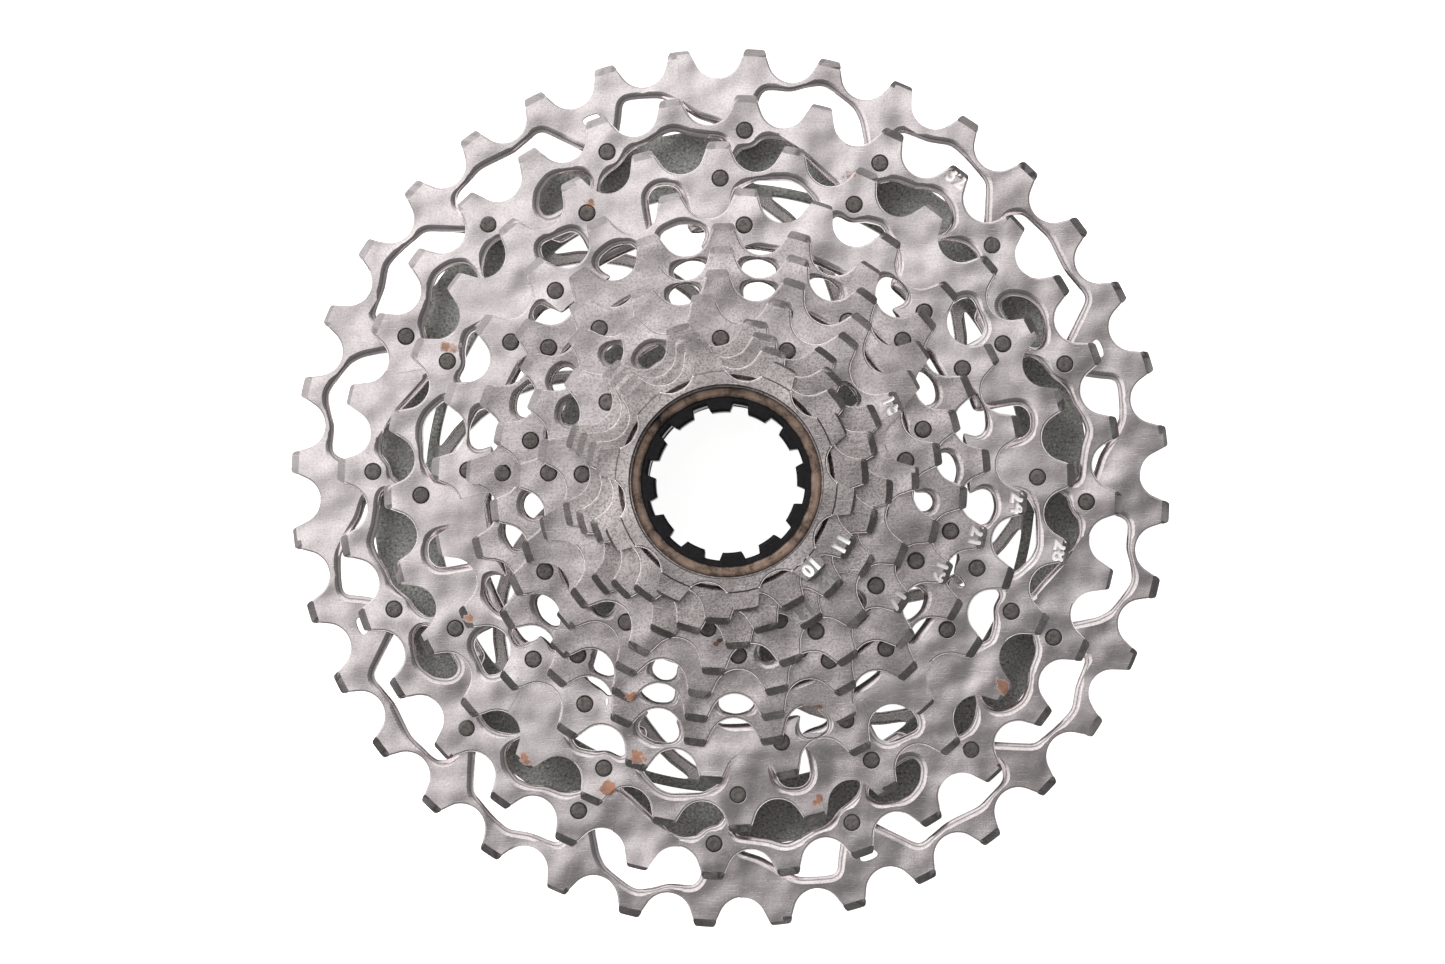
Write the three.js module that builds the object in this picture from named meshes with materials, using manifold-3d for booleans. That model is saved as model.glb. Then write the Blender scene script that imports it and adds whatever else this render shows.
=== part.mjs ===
// Twelve-speed bicycle cassette: eight stamped cogs joined by pins, a machined cluster of the four
// smallest cogs, an alloy rear carrier with a splined hub, and a captive lock sleeve.
// Millimetres, +Z from the wheel side to the smallest cog. The origin is the centre of the back face.
// Angles are clockwise from +Y, seen from the front.

import * as THREE from "three";
import { mergeVertices } from "three/addons/utils/BufferGeometryUtils.js";
import Module from "manifold-3d";

const wasm = await Module();
wasm.setup();

// Driving dimensions.
const CHAIN_PITCH = 12.7;
const ROOT_DROP = 3.93; // gullet floor below the pitch circle: half a chain roller
const TIP_RISE = 1.1; // tooth tip above the pitch circle, big cogs
const SMALL_TIP_RISE = 0.7; // the same, machined small cogs
const TIP_HALF_WIDTH = 1.45;
const GULLET_ARC = 30; // degrees each side of the gullet's middle, round the roller, to its flanks
const PLATE = 1.6; // cog thickness
const SPACING = 3.65; // from one cog to the next
const CARRIER_PLATE = 2.6;
const PLATE_GAP = 0.1; // between the carrier and the biggest cog
const EXTRA_CUT = 1; // how far a cutting solid runs past the face it cuts
const OVERLAP = 1.5; // how far two joined solids run into each other
const MERGE_DISTANCE = 1e-4; // between corners that count as one
const FLAT_WITHIN = 0.002; // a solid's surface may be simplified by this much

const RIM_DEPTH = 6.2; // toothed ring, from the pitch circle to its inner edge
const OWN_BOSS = 3.1; // round the pins whose heads show on this cog
const INNER_BOSS = 2.9; // at an arm's inner end
const ARM_ROOT = 6.4; // arm width at the ring
const ARM_TIP = 3.8; // arm width at its boss
const ARM_OVERLAP = 1; // how far an arm's root runs into the ring
const WIDE_ARM = 1.8; // how many times wider the root of a wide arm is
const PIN_RADIUS = 1.2;
const PIN_HOLE = 1.4;
const PIN_PROUD = 0.25; // pin head above the cog's front face
const ROUND_SIDES = 6; // sides of a pin and its hole
const BOSS_SIDES = 6;
const BORE_SIDES = 24;

const CARRIER_INNER = 49.6;
const CARRIER_OUTER = 60.3;
const CARRIER_BOSS = 3.2;
const ANNULUS_SIDES = 40;
const SPOKES = 8;
const SPOKE_FIRST = -1.3; // angle where the first spoke leaves the annulus
const SPOKE_SWEEP = 52; // degrees a spoke turns on its way to the hub
const SPOKE_WIDTH = 2.6;
const SPOKE_STEPS = 4;
const SPOKE_START_PACE = 0.45; // how fast a spoke moves inwards where it leaves the annulus
const HUB_OUTER = 21;
const HUB_FOOT = 31; // flange at the hub's back end, where the spokes meet
const HUB_LENGTH = 15;
const SPLINE_OUTER = 17.3;
const SPLINE_INNER = 16.2;
const SPLINE_COUNT = 12;

const CLUSTER_BORE = 14.6;
const CLUSTER_COUNTERBORE = 15.75;
const CLUSTER_BACK_BORE = 17;
const VALLEY_DROP = 0.5; // core between two small cogs, below the gullet floor
const STUD_ROW_RADIUS = 20.3; // hidden studs that hold the cluster to the next cog

const SLEEVE_RADIUS = 14.3;
const SLEEVE_FLANGE = 15.5;
const FLANGE_THICKNESS = 1.9;
const FLANGE_RECESS = 1.2; // flange face below the smallest cog's face
const SLEEVE_LENGTH = 23.2;
const SLEEVE_BORE = 12.9;
const NOTCH_COUNT = 12;
const NOTCH_FIRST = 10.4;
const NOTCH_OUTER = 12.8;
const NOTCH_INNER = 11.5;
const NOTCH_DEPTH = 8.2;
const NOTCH_ANGLE = 14;
const RUNNING_GAP = 0.3; // along the axis, each side of the cluster's shoulders
const SHOULDER_STEP = 0.1; // cluster's back shoulder, in front of its first cog's front face
const SNAP_RING_THICKNESS = 1.1;
const SNAP_RING_INNER = 13.8;
const SNAP_RING_OUTER = 15.6;
const SNAP_GROOVE = 13.5;
const GROOVE_SIDE_GAP = 0.1;

const steel = { color: 0xb9b1b3, metalness: 0.9, roughness: 0.38 };
const smallSteel = { color: 0x8c8286, metalness: 0.9, roughness: 0.42 };
const pinSteel = { color: 0x8a8482, metalness: 0.9, roughness: 0.45 };
const blastedAlloy = { color: 0x6f736c, metalness: 0.5, roughness: 0.8 };
const blackAlloy = { color: 0x2c2725, metalness: 0.6, roughness: 0.5 };
const springSteel = { color: 0x55504e, metalness: 0.9, roughness: 0.4 };

const PLANE_36 = CARRIER_PLATE + PLATE_GAP + PLATE / 2; // height of the biggest cog's middle
const planeOf = (position) => PLANE_36 + SPACING * position;
const pitchRadius = (teeth) => CHAIN_PITCH / 2 / Math.sin(Math.PI / teeth);
const every = (count, first) => Array.from({ length: count }, (_, i) => first + (360 / count) * i);
const onTeeth = (teeth, first, list) => list.map((i) => first + (360 / teeth) * i);
const quarters = (angles) => [0, 90, 180, 270].flatMap((turn) => angles.map((a) => a + turn));

// Pin rows, named after the cog that their heads show on. Each pin also holds the next larger cog.
const row = (radius, angles) => angles.map((angle) => ({ radius, angle }));
const pins32 = row(59.8, every(16, 2.45));
const pins28 = row(51.5, quarters([23.95, 62.55, 88.35]));
const pins24 = row(43.5, onTeeth(24, 3.4, [0, 3, 4, 7, 8, 10, 11, 14, 15, 18, 20, 21]));
const pins21 = row(37.6, onTeeth(21, 16, [2, 5, 7, 10, 12, 15, 17, 20]));
const pins19 = row(33.5, onTeeth(19, 17.35, [1, 3, 5, 7, 9, 12, 14, 16, 18]));
const pins17 = [...row(29.6, [18.3, 82.5, 124.4, 273.7, 329]), ...row(28.2, [149, 176.5, 216.3])];
const pins15 = row(23.9, [24.2, 65.4, 120.8, 159.2, 187.7, 231.5, 273.8, 304.2, 357.3]);
const pins13 = row(STUD_ROW_RADIUS, every(6, 30));

// Stamped cogs, biggest first: own pins, and the inner pins that its arms reach. lean is how far an
// arm's root lies anticlockwise of its pin. Wide arms are listed by the index of their pin.
const STAMPED = [
  { teeth: 36, firstTooth: 3.3, own: [], inner: pins32, lean: 2, wide: [0, 4, 8, 12] },
  { teeth: 32, firstTooth: 2.45, own: pins32, inner: pins28, lean: 5, wide: [0, 1, 3, 4, 6, 7, 9, 10] },
  { teeth: 28, firstTooth: 11, own: pins28, inner: pins24, lean: 5, wide: [1, 2, 4, 7, 9, 11] },
  { teeth: 24, firstTooth: 3.4, own: pins24, inner: pins21, lean: 4, wide: [0, 3, 6] },
  { teeth: 21, firstTooth: 16, own: pins21, inner: pins19, lean: 4, wide: [], studs: true },
  { teeth: 19, firstTooth: 17.35, own: pins19, inner: pins17, lean: 4, wide: [], studs: true },
  { teeth: 17, firstTooth: 18.3, own: pins17, inner: pins15, lean: 4, wide: [], studs: true },
  { teeth: 15, firstTooth: 16.3, own: pins15, inner: pins13, lean: 4, wide: [], studs: true },
];
const CLUSTER = [
  { teeth: 13, firstTooth: 10 },
  { teeth: 12, firstTooth: 14.8 },
  { teeth: 11, firstTooth: 20.1 },
  { teeth: 10, firstTooth: 27.1 },
];

// Heights along the axis.
const FRONT_FACE = planeOf(STAMPED.length + CLUSTER.length - 1) + PLATE / 2;
const FLANGE_FACE = FRONT_FACE - FLANGE_RECESS;
const FLANGE_BACK = FLANGE_FACE - FLANGE_THICKNESS;
const SHOULDER_FRONT = FLANGE_BACK - RUNNING_GAP;
const SHOULDER_BACK = planeOf(STAMPED.length) + PLATE / 2 + SHOULDER_STEP;
const RING_FRONT = SHOULDER_BACK - RUNNING_GAP;
const RING_BACK = RING_FRONT - SNAP_RING_THICKNESS;

const polar = (radius, degrees) => {
  const angle = THREE.MathUtils.degToRad(degrees);
  return new THREE.Vector2(radius * Math.sin(angle), radius * Math.cos(angle));
};

function asSolid(geometry) {
  geometry.deleteAttribute("normal");
  geometry.deleteAttribute("uv");
  const merged = mergeVertices(geometry, MERGE_DISTANCE);
  const vertProperties = new Float32Array(merged.attributes.position.array);
  const triVerts = new Uint32Array(merged.index.array);
  return new wasm.Manifold(new wasm.Mesh({ numProp: 3, vertProperties, triVerts }));
}

function asGeometry(solid) {
  const mesh = solid.asOriginal().simplify(FLAT_WITHIN).getMesh();
  const geometry = new THREE.BufferGeometry();
  geometry.setAttribute("position", new THREE.BufferAttribute(mesh.vertProperties, 3));
  geometry.setIndex(new THREE.BufferAttribute(mesh.triVerts, 1));
  geometry.computeVertexNormals();
  return geometry;
}

// A flat outline, extruded from one height to another.
function slab(points, bottom, top) {
  const shape = new THREE.Shape(points);
  const geometry = new THREE.ExtrudeGeometry(shape, { depth: top - bottom, bevelEnabled: false });
  geometry.translate(0, 0, bottom);
  return asSolid(geometry);
}

function disc(centre, radius, sides, bottom, top) {
  const points = every(sides, 0).map((angle) => polar(radius, angle).add(centre));
  return slab(points, bottom, top);
}

// A turned solid from a profile of [radius, height] points that starts and ends on the axis.
function turned(profile) {
  const points = profile.map(([radius, height]) => new THREE.Vector2(radius, height));
  const geometry = new THREE.LatheGeometry(points, BORE_SIDES);
  geometry.rotateX(Math.PI / 2);
  return asSolid(geometry);
}

const joined = (solids) => solids.reduce((whole, solid) => whole.add(solid));
const cutFrom = (solid, cutters) => cutters.reduce((rest, cutter) => rest.subtract(cutter), solid);

// The toothed outline: each gullet follows a chain roller, and each tooth ends in a short flat tip.
function toothedOutline(teeth, firstTooth, tipRise) {
  const radius = pitchRadius(teeth);
  const tipAngle = THREE.MathUtils.radToDeg(TIP_HALF_WIDTH / radius);
  return every(teeth, firstTooth).flatMap((tooth) => {
    const gullet = tooth + 180 / teeth;
    const roller = polar(radius, gullet);
    const floor = [-GULLET_ARC, GULLET_ARC].map((turn) =>
      polar(-ROOT_DROP, gullet - turn).add(roller));
    const tips = [tooth - tipAngle, tooth + tipAngle].map((angle) => polar(radius + tipRise, angle));
    return [...tips, ...floor];
  });
}

function arm(pin, ringRadius, lean, rootWidth, bottom, top) {
  const inner = polar(pin.radius, pin.angle);
  const root = polar(ringRadius + ARM_OVERLAP, pin.angle - lean);
  const side = root.clone().sub(inner).normalize().rotateAround(new THREE.Vector2(), Math.PI / 2);
  const corner = (point, width) => point.clone().addScaledVector(side, width / 2);
  const outline = [
    corner(inner, ARM_TIP),
    corner(inner, -ARM_TIP),
    corner(root, -rootWidth),
    corner(root, rootWidth),
  ];
  return slab(outline, bottom, top);
}

function stampedCog({ teeth, firstTooth, own, inner, lean, wide, studs }, position) {
  const bottom = planeOf(position) - PLATE / 2;
  const top = bottom + PLATE;
  const ringRadius = pitchRadius(teeth) - RIM_DEPTH;
  const at = (pin) => polar(pin.radius, pin.angle);
  const ring = slab(toothedOutline(teeth, firstTooth, TIP_RISE), bottom, top)
    .subtract(disc(new THREE.Vector2(), ringRadius, teeth, bottom - EXTRA_CUT, top + EXTRA_CUT));
  const bosses = [
    ...own.map((pin) => disc(at(pin), OWN_BOSS, BOSS_SIDES, bottom, top)),
    ...inner.map((pin) => disc(at(pin), INNER_BOSS, BOSS_SIDES, bottom, top)),
  ];
  const arms = inner.map((pin, i) =>
    arm(pin, ringRadius, lean, wide.includes(i) ? ARM_ROOT * WIDE_ARM : ARM_ROOT, bottom, top));
  const drilled = studs ? inner : [...own, ...inner];
  const holes = drilled.map((pin) =>
    disc(at(pin), PIN_HOLE, ROUND_SIDES, bottom - EXTRA_CUT, top + EXTRA_CUT));
  const plate = cutFrom(joined([ring, ...bosses, ...arms]), holes);
  if (!studs) return plate;
  const studBottom = planeOf(position - 1) - PLATE / 2;
  return joined([
    plate,
    ...own.map((pin) => disc(at(pin), PIN_RADIUS, ROUND_SIDES, studBottom, top + PIN_PROUD)),
  ]);
}

function smallCogCluster() {
  const backFace = planeOf(STAMPED.length) - PLATE / 2;
  const solids = CLUSTER.map(({ teeth, firstTooth }, i) => {
    const bottom = backFace + SPACING * i;
    return slab(toothedOutline(teeth, firstTooth, SMALL_TIP_RISE), bottom, bottom + PLATE);
  });
  const valleys = CLUSTER.slice(1).map(({ teeth }, i) => {
    const bottom = backFace + SPACING * i + PLATE / 2;
    const radius = pitchRadius(teeth) - ROOT_DROP - VALLEY_DROP;
    return disc(new THREE.Vector2(), radius, BORE_SIDES, bottom, bottom + SPACING);
  });
  const studBottom = planeOf(STAMPED.length - 1) - PLATE / 2;
  const studs = pins13.map((pin) =>
    disc(polar(pin.radius, pin.angle), PIN_RADIUS, ROUND_SIDES, studBottom, backFace + PLATE / 2));
  const bore = turned([
    [0, backFace - EXTRA_CUT],
    [CLUSTER_BACK_BORE, backFace - EXTRA_CUT],
    [CLUSTER_BACK_BORE, SHOULDER_BACK],
    [CLUSTER_BORE, SHOULDER_BACK],
    [CLUSTER_BORE, SHOULDER_FRONT],
    [CLUSTER_COUNTERBORE, SHOULDER_FRONT],
    [CLUSTER_COUNTERBORE, FRONT_FACE + EXTRA_CUT],
    [0, FRONT_FACE + EXTRA_CUT],
  ]);
  return joined([...solids, ...valleys, ...studs]).subtract(bore);
}

// A spoke that sweeps round as it runs in from the annulus to the hub.
function spoke(first) {
  const steps = Array.from({ length: SPOKE_STEPS + 1 }, (_, i) => i / SPOKE_STEPS);
  const inwards = (t) => t * (SPOKE_START_PACE + (1 - SPOKE_START_PACE) * t);
  const middle = (t) => polar(
    THREE.MathUtils.lerp(CARRIER_INNER + OVERLAP, HUB_OUTER - OVERLAP, inwards(t)),
    first + SPOKE_SWEEP * t,
  );
  const nearby = 0.1 / SPOKE_STEPS;
  const edge = (t, side) => {
    const along = middle(t + nearby).sub(middle(t - nearby)).normalize();
    return middle(t).add(new THREE.Vector2(along.y, -along.x).multiplyScalar(side * SPOKE_WIDTH / 2));
  };
  const outline = [...steps.map((t) => edge(t, 1)), ...steps.reverse().map((t) => edge(t, -1))];
  return slab(outline, 0, CARRIER_PLATE);
}

function rearCarrier() {
  const centre = new THREE.Vector2();
  const annulus = disc(centre, CARRIER_OUTER, ANNULUS_SIDES, 0, CARRIER_PLATE)
    .subtract(disc(centre, CARRIER_INNER, ANNULUS_SIDES, -EXTRA_CUT, CARRIER_PLATE + EXTRA_CUT));
  const bosses = pins32.map((pin) =>
    disc(polar(pin.radius, pin.angle), CARRIER_BOSS, BOSS_SIDES, 0, CARRIER_PLATE));
  const hub = disc(centre, HUB_OUTER, BORE_SIDES, 0, HUB_LENGTH)
    .add(disc(centre, HUB_FOOT, BORE_SIDES, 0, CARRIER_PLATE));
  const half = 90 / SPLINE_COUNT;
  const splineOutline = every(SPLINE_COUNT, 0).flatMap((angle) => [
    polar(SPLINE_OUTER, angle - half),
    polar(SPLINE_OUTER, angle + half),
    polar(SPLINE_INNER, angle + half),
    polar(SPLINE_INNER, angle + 3 * half),
  ]);
  const bore = slab(splineOutline, -EXTRA_CUT, HUB_LENGTH + EXTRA_CUT);
  const holes = pins32.map((pin) => disc(
    polar(pin.radius, pin.angle), PIN_HOLE, ROUND_SIDES, -EXTRA_CUT, CARRIER_PLATE + EXTRA_CUT));
  const whole = joined([annulus, ...bosses, hub, ...every(SPOKES, SPOKE_FIRST).map(spoke)]);
  return cutFrom(whole, [bore, ...holes]);
}

function lockSleeve() {
  const back = FLANGE_FACE - SLEEVE_LENGTH;
  const notchBack = FLANGE_FACE - NOTCH_DEPTH;
  const body = turned([
    [0, back],
    [SLEEVE_RADIUS, back],
    [SLEEVE_RADIUS, RING_BACK - GROOVE_SIDE_GAP],
    [SNAP_GROOVE, RING_BACK - GROOVE_SIDE_GAP],
    [SNAP_GROOVE, RING_FRONT + GROOVE_SIDE_GAP],
    [SLEEVE_RADIUS, RING_FRONT + GROOVE_SIDE_GAP],
    [SLEEVE_RADIUS, FLANGE_BACK],
    [SLEEVE_FLANGE, FLANGE_BACK],
    [SLEEVE_FLANGE, FLANGE_FACE],
    [0, FLANGE_FACE],
  ]);
  const bore = turned([
    [0, back - EXTRA_CUT],
    [SLEEVE_BORE, back - EXTRA_CUT],
    [SLEEVE_BORE, notchBack],
    [NOTCH_INNER, notchBack],
    [NOTCH_INNER, FLANGE_FACE + EXTRA_CUT],
    [0, FLANGE_FACE + EXTRA_CUT],
  ]);
  const notches = every(NOTCH_COUNT, NOTCH_FIRST).map((angle) => slab([
    polar(NOTCH_INNER - EXTRA_CUT, angle - NOTCH_ANGLE / 2),
    polar(NOTCH_OUTER, angle - NOTCH_ANGLE / 2),
    polar(NOTCH_OUTER, angle + NOTCH_ANGLE / 2),
    polar(NOTCH_INNER - EXTRA_CUT, angle + NOTCH_ANGLE / 2),
  ], notchBack - EXTRA_CUT, FLANGE_FACE + EXTRA_CUT));
  return cutFrom(body, [bore, ...notches]);
}

function sleeveSnapRing() {
  const centre = new THREE.Vector2();
  return disc(centre, SNAP_RING_OUTER, BORE_SIDES, RING_BACK, RING_FRONT)
    .subtract(disc(centre, SNAP_RING_INNER, BORE_SIDES, RING_BACK - EXTRA_CUT, RING_FRONT + EXTRA_CUT));
}

// A separate pin from the front of its own cog to the back of the next larger one, or the carrier.
function pinSolid(pin, position) {
  const bottom = position === 1 ? 0 : planeOf(position - 1) - PLATE / 2;
  const top = planeOf(position) + PLATE / 2 + PIN_PROUD;
  return disc(polar(pin.radius, pin.angle), PIN_RADIUS, ROUND_SIDES, bottom, top);
}

const cassette = new THREE.Group();

function addPiece(name, solid, finish) {
  const mesh = new THREE.Mesh(asGeometry(solid), new THREE.MeshStandardMaterial(finish));
  mesh.name = name;
  cassette.add(mesh);
}

STAMPED.forEach((cog, i) => addPiece(`cog_${cog.teeth}`, stampedCog(cog, i), steel));
addPiece("small_cog_cluster", smallCogCluster(), smallSteel);
addPiece("rear_carrier", rearCarrier(), blastedAlloy);
addPiece("lock_sleeve", lockSleeve(), blackAlloy);
addPiece("sleeve_snap_ring", sleeveSnapRing(), springSteel);
STAMPED.forEach(({ teeth, own, studs }, i) => {
  if (studs) return;
  own.forEach((pin, n) => {
    const number = String(n + 1).padStart(2, "0");
    addPiece(`pin_${teeth}_${number}`, pinSolid(pin, i), pinSteel);
  });
});

export default cassette;
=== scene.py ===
import math

import bmesh
import bpy
import numpy as np
from mathutils import Matrix, Vector
from mathutils.geometry import tessellate_polygon


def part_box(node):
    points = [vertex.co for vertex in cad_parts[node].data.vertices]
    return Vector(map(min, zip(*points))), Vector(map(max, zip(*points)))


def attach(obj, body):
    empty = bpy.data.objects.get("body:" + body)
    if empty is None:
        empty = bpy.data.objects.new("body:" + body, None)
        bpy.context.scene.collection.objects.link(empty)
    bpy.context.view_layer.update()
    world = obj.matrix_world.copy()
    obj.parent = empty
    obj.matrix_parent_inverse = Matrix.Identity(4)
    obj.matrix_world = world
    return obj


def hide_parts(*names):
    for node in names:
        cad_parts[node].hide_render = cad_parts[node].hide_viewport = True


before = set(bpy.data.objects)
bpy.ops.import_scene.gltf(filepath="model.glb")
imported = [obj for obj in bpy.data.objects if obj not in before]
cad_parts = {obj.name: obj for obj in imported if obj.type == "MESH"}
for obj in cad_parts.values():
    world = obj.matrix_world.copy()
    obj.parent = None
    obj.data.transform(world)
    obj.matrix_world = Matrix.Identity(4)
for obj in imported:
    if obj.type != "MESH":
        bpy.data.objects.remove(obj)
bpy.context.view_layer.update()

MM = 0.001
STACK = "cog_stack"
SLEEVE = "lock_sleeve"

# Angles are clockwise from +Y, seen from the front. Lengths are in millimetres until a mesh is made.
CHAIN_PITCH = 12.7
ROLLER = 3.93            # chain roller radius, which each gullet follows
TIP_RISE = 1.03          # how far a stamped cog's teeth stand above the pitch circle
SMALL_TIP_RISE = 0.66    # the same for the machined cluster
TIP_ROUND = 0.35
GRID = 0.25              # spacing of the field that a plate's outline is drawn from
FIELD_MARGIN = 3         # how far a cog's field reaches past its pitch circle
SOFTEN = 0.65            # how far a window's corners are rounded
TOOTH_EDGE = 0.38        # width of the rounded edge round the teeth
WINDOW_EDGE = 1.3        # its width round a window
HOLE_EDGE = 0.16         # its width round a pin hole
EDGE_DROP = 0.5          # how far a window's rounded edge falls
BACK_EDGE = 0.14         # width of the bevel at a plate's back
EDGE_STEPS = 4           # facets in a rounded edge
NARROWER = (1.0, 0.75, 0.5, 0.3)
PIN_HOLE = 1.36          # radius
OWN_BOSS = 3.1           # radius of the metal round a cog's own pins
INNER_BOSS = 3.0         # radius round the pins that come from the next smaller cog
QUARTER_TURNS = (0, 90, 180, 270)


def in_mm(node):
    low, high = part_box(node)
    return np.array(low) / MM, np.array(high) / MM


# Heights above the hub's back face, taken from the CAD.
BACK_36 = float(in_mm("cog_36")[0][2])
PLATE = float(in_mm("cog_36")[1][2]) - BACK_36
SPACING = float(in_mm("cog_32")[0][2]) - BACK_36
CARRIER_TOP = 2.6
FRONT_FACE = float(in_mm("small_cog_cluster")[1][2])


def back_of(place):
    return BACK_36 + SPACING * place


def pitch_radius(teeth):
    return CHAIN_PITCH / 2 / math.sin(math.pi / teeth)


def polar(radius, degrees):
    angle = math.radians(degrees)
    return radius * math.sin(angle), radius * math.cos(angle)


def every(count, first):
    return [first + 360.0 / count * i for i in range(count)]


def on_teeth(teeth, first, numbers):
    return [first + 360.0 / teeth * i for i in numbers]


def quarters(angles):
    return [turn + a for turn in QUARTER_TURNS for a in angles]


def row(radius, angles):
    return [(radius, a) for a in angles]


# The pins whose heads show on each cog, as (radius, angle).
PINS = {
    32: row(59.8, every(16, 2.45)),
    28: row(51.5, quarters([23.95, 62.55, 88.35])),
    24: row(43.5, on_teeth(24, 3.4, [0, 3, 4, 7, 8, 10, 11, 14, 15, 18, 20, 21])),
    21: row(37.6, on_teeth(21, 16, [2, 5, 7, 10, 12, 15, 17, 20])),
    19: row(33.5, on_teeth(19, 17.35, [1, 3, 5, 7, 9, 12, 14, 16, 18])),
    17: row(29.6, [18.3, 82.5, 124.4, 273.7, 329]) + row(28.2, [149, 176.5, 216.3]),
    15: row(23.9, [24.2, 65.4, 120.8, 159.2, 187.7, 231.5, 273.8, 304.2, 357.3]),
    13: row(20.3, every(6, 30)),
}


# Plate outlines: a field over a grid is negative inside the metal, and its zero line is the edge.

class Field:
    def __init__(self, reach):
        self.reach = reach
        self.side = np.arange(-reach, reach + GRID, GRID)
        self.x, self.y = np.meshgrid(self.side, self.side)
        self.r = np.hypot(self.x, self.y)
        self.angle = np.degrees(np.arctan2(self.x, self.y))
        self.d = np.full_like(self.x, 1e3)

    def depth_at(self, points):
        """How deep in the metal each point lies."""
        place = np.clip((points + self.reach) / GRID, 0, len(self.side) - 1.001)
        i, j = place.astype(int).T
        u, v = (place - place.astype(int)).T
        low = self.d[j, i] * (1 - u) + self.d[j, i + 1] * u
        high = self.d[j + 1, i] * (1 - u) + self.d[j + 1, i + 1] * u
        return -(low * (1 - v) + high * v)

    def patch(self, points, margin=3.0):
        low = np.min(points, axis=0) - margin
        high = np.max(points, axis=0) + margin
        first = np.clip(((low + self.reach) / GRID).astype(int), 0, len(self.side))
        last = np.clip(((high + self.reach) / GRID).astype(int) + 1, 0, len(self.side))
        return slice(first[1], last[1]), slice(first[0], last[0])

    def cut_polygon(self, points):
        where = self.patch(points)
        outline = polygon_distance(self.x[where], self.y[where], points)
        self.d[where] = np.maximum(self.d[where], -outline)

    def add_disc(self, radius, place):
        centre = np.array(polar(*place))
        where = self.patch([centre], radius + 2)
        near = np.hypot(self.x[where] - centre[0], self.y[where] - centre[1]) - radius
        self.d[where] = np.minimum(self.d[where], near)

    def cut_disc(self, radius, place):
        centre = np.array(polar(*place))
        where = self.patch([centre], radius + 2)
        near = radius - np.hypot(self.x[where] - centre[0], self.y[where] - centre[1])
        self.d[where] = np.maximum(self.d[where], near)

    def add_bar(self, start, end, width):
        a, b = np.array(polar(*start)), np.array(polar(*end))
        where = self.patch([a, b], width + 2)
        px, py = self.x[where] - a[0], self.y[where] - a[1]
        along = b - a
        t = np.clip((px * along[0] + py * along[1]) / (along @ along), 0, 1)
        near = np.hypot(px - along[0] * t, py - along[1] * t)
        self.d[where] = np.minimum(self.d[where], near - width / 2)

    def soften(self, width):
        reach = int(math.ceil(2.5 * width / GRID))
        steps = np.arange(-reach, reach + 1)
        weights = np.exp(-0.5 * (steps * GRID / width) ** 2)
        weights /= weights.sum()
        for axis in (0, 1):
            self.d = sum(w * np.roll(self.d, s, axis) for w, s in zip(weights, steps))


def polygon_distance(x, y, points):
    best = np.full_like(x, 1e9)
    inside = np.zeros(x.shape, bool)
    for (x0, y0), (x1, y1) in zip(points, np.roll(points, -1, axis=0)):
        ex, ey = x1 - x0, y1 - y0
        t = np.clip(((x - x0) * ex + (y - y0) * ey) / (ex * ex + ey * ey + 1e-12), 0, 1)
        best = np.minimum(best, (x - x0 - ex * t) ** 2 + (y - y0 - ey * t) ** 2)
        crosses = (y0 > y) != (y1 > y)
        with np.errstate(divide="ignore", invalid="ignore"):
            inside ^= crosses & (x < x0 + (y - y0) * ex / np.where(ey == 0, 1e-12, ey))
    return np.where(inside, -1, 1) * np.sqrt(best)


def smooth_max(a, b, width):
    h = np.clip(0.5 - 0.5 * (b - a) / width, 0, 1)
    return b * (1 - h) + a * h + width * h * (1 - h)


def tooth_distance(field, teeth, first_tooth, tip_rise):
    radius = pitch_radius(teeth)
    step = 360.0 / teeth
    local = np.radians((field.angle - first_tooth) % step - step / 2)
    across = np.abs(field.r * np.sin(local))
    up = field.r * np.cos(local) - radius
    lean = math.radians(24 + 80 / teeth)
    flank = across * math.cos(lean) - up * math.sin(lean) - ROLLER
    floor = np.hypot(across, up) - ROLLER
    gullet = np.where(up > -across * math.tan(lean), flank, floor)
    return smooth_max(-gullet, field.r - radius - tip_rise, TIP_ROUND)


# For each set of a grid square's corners that lie in the metal, the sides where the outline
# comes in and goes out.
EDGE_WALKS = {
    1: [(0, 3)], 2: [(1, 0)], 3: [(1, 3)], 4: [(2, 1)], 5: [(0, 3), (2, 1)], 6: [(2, 0)],
    7: [(2, 3)], 8: [(3, 2)], 9: [(0, 2)], 10: [(1, 0), (3, 2)], 11: [(1, 2)], 12: [(3, 1)],
    13: [(0, 1)], 14: [(3, 0)],
}


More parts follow.
